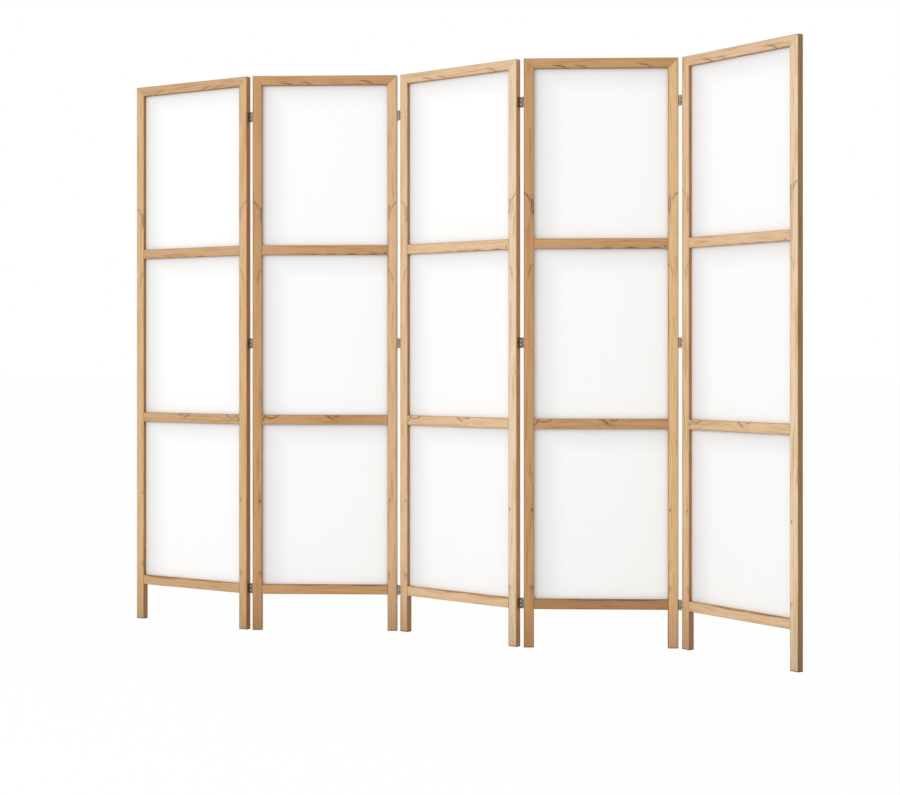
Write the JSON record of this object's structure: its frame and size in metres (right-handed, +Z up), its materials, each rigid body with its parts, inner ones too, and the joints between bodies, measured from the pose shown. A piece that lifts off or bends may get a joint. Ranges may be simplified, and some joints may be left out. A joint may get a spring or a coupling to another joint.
{
  "type": "folding room divider",
  "caption": "Free-standing accordion screen of tall pine-framed panels with white cloth, joined by small butt hinges; folds flat.",
  "frame": {"origin": "on the floor under the middle of the standing screen's box", "axes": "+X along the line between the two free ends, from the left end to the right; +Y towards the back of the screen, so the front faces -Y; +Z up"},
  "size_m": [2.1768, 0.2772, 1.72],
  "materials": {
    "pine": "planed pine with a thin clear satin varnish",
    "cloth": "white non-woven cloth, matt",
    "steel": "zinc-plated pressed steel"
  },
  "bodies": {
    "panel_1": {"panel_1_stile_left": "pine", "panel_1_stile_right": "pine", "panel_1_rail_top": "pine", "panel_1_rail_bottom": "pine", "panel_1_rail_middle_1": "pine", "panel_1_rail_middle_2": "pine", "panel_1_sheet": "cloth", "hinge_1_2_top_pin_leaf": "steel", "hinge_1_2_middle_pin_leaf": "steel", "hinge_1_2_bottom_pin_leaf": "steel"},
    "panel_2": {"panel_2_stile_left": "pine", "panel_2_stile_right": "pine", "panel_2_rail_top": "pine", "panel_2_rail_bottom": "pine", "panel_2_rail_middle_1": "pine", "panel_2_rail_middle_2": "pine", "panel_2_sheet": "cloth", "hinge_1_2_top_bored_leaf": "steel", "hinge_1_2_middle_bored_leaf": "steel", "hinge_1_2_bottom_bored_leaf": "steel", "hinge_2_3_top_pin_leaf": "steel", "hinge_2_3_middle_pin_leaf": "steel", "hinge_2_3_bottom_pin_leaf": "steel"},
    "panel_3": {"panel_3_stile_left": "pine", "panel_3_stile_right": "pine", "panel_3_rail_top": "pine", "panel_3_rail_bottom": "pine", "panel_3_rail_middle_1": "pine", "panel_3_rail_middle_2": "pine", "panel_3_sheet": "cloth", "hinge_2_3_top_bored_leaf": "steel", "hinge_2_3_middle_bored_leaf": "steel", "hinge_2_3_bottom_bored_leaf": "steel", "hinge_3_4_top_pin_leaf": "steel", "hinge_3_4_middle_pin_leaf": "steel", "hinge_3_4_bottom_pin_leaf": "steel"},
    "panel_4": {"panel_4_stile_left": "pine", "panel_4_stile_right": "pine", "panel_4_rail_top": "pine", "panel_4_rail_bottom": "pine", "panel_4_rail_middle_1": "pine", "panel_4_rail_middle_2": "pine", "panel_4_sheet": "cloth", "hinge_3_4_top_bored_leaf": "steel", "hinge_3_4_middle_bored_leaf": "steel", "hinge_3_4_bottom_bored_leaf": "steel", "hinge_4_5_top_pin_leaf": "steel", "hinge_4_5_middle_pin_leaf": "steel", "hinge_4_5_bottom_pin_leaf": "steel"},
    "panel_5": {"panel_5_stile_left": "pine", "panel_5_stile_right": "pine", "panel_5_rail_top": "pine", "panel_5_rail_bottom": "pine", "panel_5_rail_middle_1": "pine", "panel_5_rail_middle_2": "pine", "panel_5_sheet": "cloth", "hinge_4_5_top_bored_leaf": "steel", "hinge_4_5_middle_bored_leaf": "steel", "hinge_4_5_bottom_bored_leaf": "steel"}
  },
  "joints": [
    {"name": "fold_2_3", "type": "hinge", "parent": "panel_3", "child": "panel_2", "pos_m": [-0.20346, 0.04365, 0.89], "axis": [0, 0, 1], "range_deg": [-37, 143]},
    {"name": "fold_3_4", "type": "hinge", "parent": "panel_3", "child": "panel_4", "pos_m": [0.24845, -0.04022, 0.89], "axis": [0, 0, 1], "range_deg": [-37, 143]},
    {"name": "fold_1_2", "type": "hinge", "parent": "panel_2", "child": "panel_1", "pos_m": [-0.63398, -0.11731, 0.89], "axis": [0, 0, -1], "range_deg": [-29, 151]},
    {"name": "fold_4_5", "type": "hinge", "parent": "panel_4", "child": "panel_5", "pos_m": [0.67897, 0.12074, 0.89], "axis": [0, 0, -1], "range_deg": [-52, 128]}
  ],
  "couplings": [
    {"joint": "fold_3_4", "follows": "fold_2_3", "ratio": 1}
  ]
}
